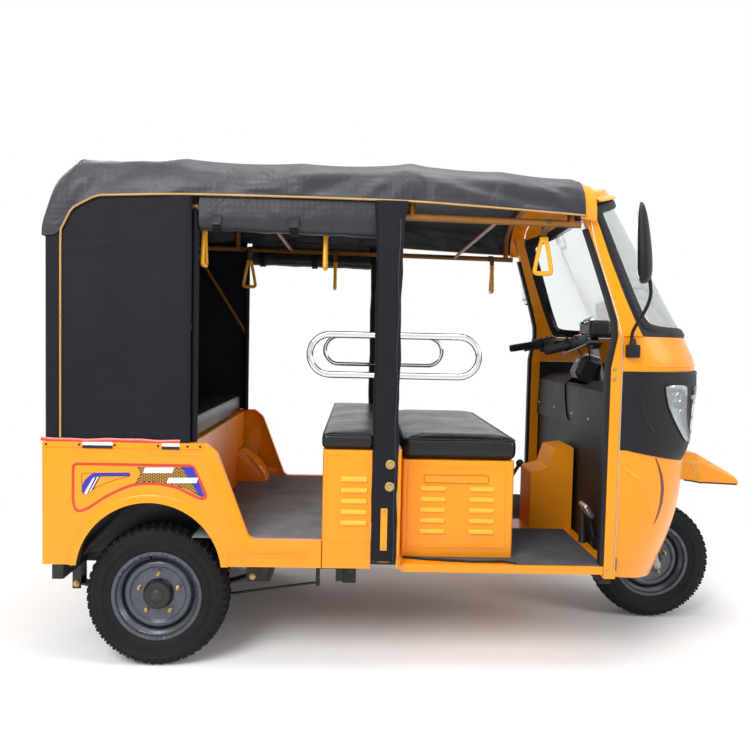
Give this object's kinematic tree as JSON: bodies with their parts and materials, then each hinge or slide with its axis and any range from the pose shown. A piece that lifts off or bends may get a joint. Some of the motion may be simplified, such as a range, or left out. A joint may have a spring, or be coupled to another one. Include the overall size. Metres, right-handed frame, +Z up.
{
  "type": "auto rickshaw",
  "caption": "Three-wheeled passenger auto rickshaw: steered front wheel, open-sided steel body, bench seats, chrome side rails and a fabric canopy over a tube frame.",
  "frame": {"origin": "centre of the footprint on the floor under the wheels", "axes": "+X forward, +Y to the vehicle's left, +Z up"},
  "size_m": [2.792, 1.6844, 1.876],
  "materials": {
    "body_paint": "gloss",
    "chassis_black": "satin",
    "engine_metal": "cast",
    "mat_rubber": "matt",
    "seat_cover": "satin",
    "canopy_cloth": "matt",
    "rail_chrome": "polished",
    "clear_glass": "clear",
    "clear_film": "clear film",
    "dark_plastic": "moulded grain",
    "lamp_lens": "clear lens",
    "tail_lens": "gloss",
    "fork_metal": "satin",
    "tyre_rubber": "matt",
    "wheel_paint": "satin",
    "hub_paint": "satin"
  },
  "bodies": {
    "body": {"badge_plates": "dark_plastic", "brake_rod": "chassis_black", "canopy_frame": "body_paint", "canopy_roof": "canopy_cloth", "centre_tunnel": "body_paint", "chassis_frame": "chassis_black", "clamp_strips": "body_paint", "control_levers": "dark_plastic", "dashboard": "dark_plastic", "door_trims": "mat_rubber", "engine": "engine_metal", "floor_bearers": "chassis_black", "floor_mats": "mat_rubber", "floor_pan": "body_paint", "front_bulkhead": "dark_plastic", "front_posts": "body_paint", "grab_handles": "body_paint", "head_frame": "chassis_black", "header": "body_paint", "headlamps": "lamp_lens", "leaf_springs": "chassis_black", "lower_cowl": "body_paint", "mirrors": "dark_plastic", "mudguard": "body_paint", "nose_mask": "dark_plastic", "pillar_covers": "canopy_cloth", "plate_bracket": "chassis_black", "rear_axle": "chassis_black", "rear_curtain": "canopy_cloth", "rear_panel": "body_paint", "rear_seat_back": "seat_cover", "rear_seat_cushion": "seat_cover", "rear_window": "clear_film", "rolled_curtains": "canopy_cloth", "screen_gasket": "mat_rubber", "seat_box_front": "body_paint", "seat_box_rear": "body_paint", "seat_pad_front": "seat_cover", "seat_pad_rear": "seat_cover", "seat_riser": "body_paint", "side_curtains": "canopy_cloth", "side_panels": "body_paint", "side_rails": "rail_chrome", "tail_lamps": "tail_lens", "upper_cowl": "body_paint", "wheel_houses": "body_paint", "windscreen": "clear_glass"},
    "steering": {"fork": "fork_metal", "grips": "dark_plastic", "handlebar": "fork_metal", "instrument_pod": "dark_plastic"},
    "wheel_right": {"tyre_right": "tyre_rubber", "rim_right": "wheel_paint", "hub_right": "hub_paint"},
    "wheel_left": {"tyre_left": "tyre_rubber", "rim_left": "wheel_paint", "hub_left": "hub_paint"},
    "wheel_front": {"tyre_front": "tyre_rubber", "rim_front": "wheel_paint", "hub_front": "hub_paint"}
  },
  "joints": [
    {"name": "steering", "type": "hinge", "parent": "body", "child": "steering", "pos_m": [1.027, 0, 0.258], "axis": [-0.2789, 0, 0.9603], "range_deg": [-40, 40]},
    {"name": "front_wheel_spin", "type": "hinge", "parent": "steering", "child": "wheel_front", "pos_m": [1.027, 0, 0.258], "axis": [0, 1, 0], "continuous": true},
    {"name": "rear_wheel_right_spin", "type": "hinge", "parent": "body", "child": "wheel_right", "pos_m": [-1.001, -0.524, 0.258], "axis": [0, 1, 0], "continuous": true},
    {"name": "rear_wheel_left_spin", "type": "hinge", "parent": "body", "child": "wheel_left", "pos_m": [-1.001, 0.524, 0.258], "axis": [0, 1, 0], "continuous": true}
  ]
}
